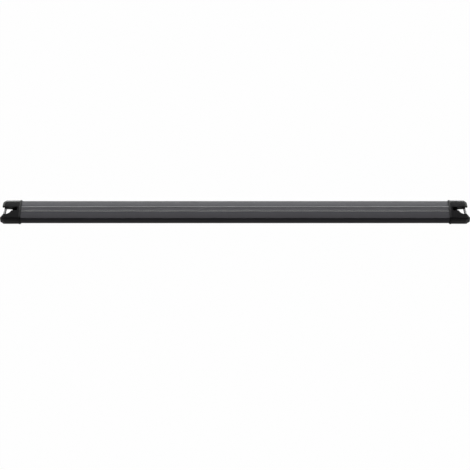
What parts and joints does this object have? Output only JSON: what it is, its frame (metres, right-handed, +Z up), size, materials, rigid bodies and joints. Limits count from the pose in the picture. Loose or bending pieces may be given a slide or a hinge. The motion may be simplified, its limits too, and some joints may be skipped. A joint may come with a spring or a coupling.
{
  "type": "roof rack crossbar",
  "caption": "Slim extruded roof rack crossbar with a top accessory slot and a forked clamp housing at each end that grips a side rail.",
  "frame": {"origin": "midway along the bar, on the plane that the undersides of the two housings stand on", "axes": "+X along the bar to the right end, +Y to the rear, +Z up out of the accessory slot"},
  "size_m": [1.0764, 0.0618, 0.026],
  "materials": {
    "bar_metal": "satin black anodised",
    "strip_rubber": "extruded rubber",
    "housing_plastic": "fine grained moulding",
    "seal_rubber": "moulded rubber",
    "bumper_rubber": "moulded grey rubber",
    "die_cast": "as cast zinc",
    "jaw_steel": "bright stainless sheet",
    "zinc_steel": "zinc plated"
  },
  "bodies": {
    "crossbar": {"bar_extrusion": "bar_metal", "slot_strip": "strip_rubber", "left_housing": "housing_plastic", "left_collar_seal": "seal_rubber", "left_front_bumper": "bumper_rubber", "left_rear_bumper": "bumper_rubber", "left_nut_block": "die_cast", "left_block_screws": "zinc_steel", "left_housing_screws": "zinc_steel", "right_housing": "housing_plastic", "right_collar_seal": "seal_rubber", "right_front_bumper": "bumper_rubber", "right_rear_bumper": "bumper_rubber", "right_nut_block": "die_cast", "right_block_screws": "zinc_steel", "right_housing_screws": "zinc_steel"},
    "left_clamp": {"left_clamp_jaw": "jaw_steel", "left_jaw_trim": "seal_rubber", "left_washer": "zinc_steel"},
    "left_screw": {"left_clamp_screw": "zinc_steel"},
    "right_clamp": {"right_clamp_jaw": "jaw_steel", "right_jaw_trim": "seal_rubber", "right_washer": "zinc_steel"},
    "right_screw": {"right_clamp_screw": "zinc_steel"}
  },
  "joints": [
    {"name": "left_clamp_slide", "type": "slide", "parent": "crossbar", "child": "left_clamp", "axis": [-1, 0, 0], "range_m": [0, 0.006]},
    {"name": "left_screw_spin", "type": "hinge", "parent": "left_clamp", "child": "left_screw", "pos_m": [-0.51, 0, 0.0082], "axis": [-1, 0, 0], "range_deg": [0, 2160]},
    {"name": "right_clamp_slide", "type": "slide", "parent": "crossbar", "child": "right_clamp", "axis": [1, 0, 0], "range_m": [0, 0.006]},
    {"name": "right_screw_spin", "type": "hinge", "parent": "right_clamp", "child": "right_screw", "pos_m": [0.51, 0, 0.0082], "axis": [1, 0, 0], "range_deg": [0, 2160]}
  ],
  "couplings": [
    {"joint": "left_screw_spin", "follows": "left_clamp_slide", "rad_per_m": 6283},
    {"joint": "right_screw_spin", "follows": "right_clamp_slide", "rad_per_m": 6283}
  ]
}
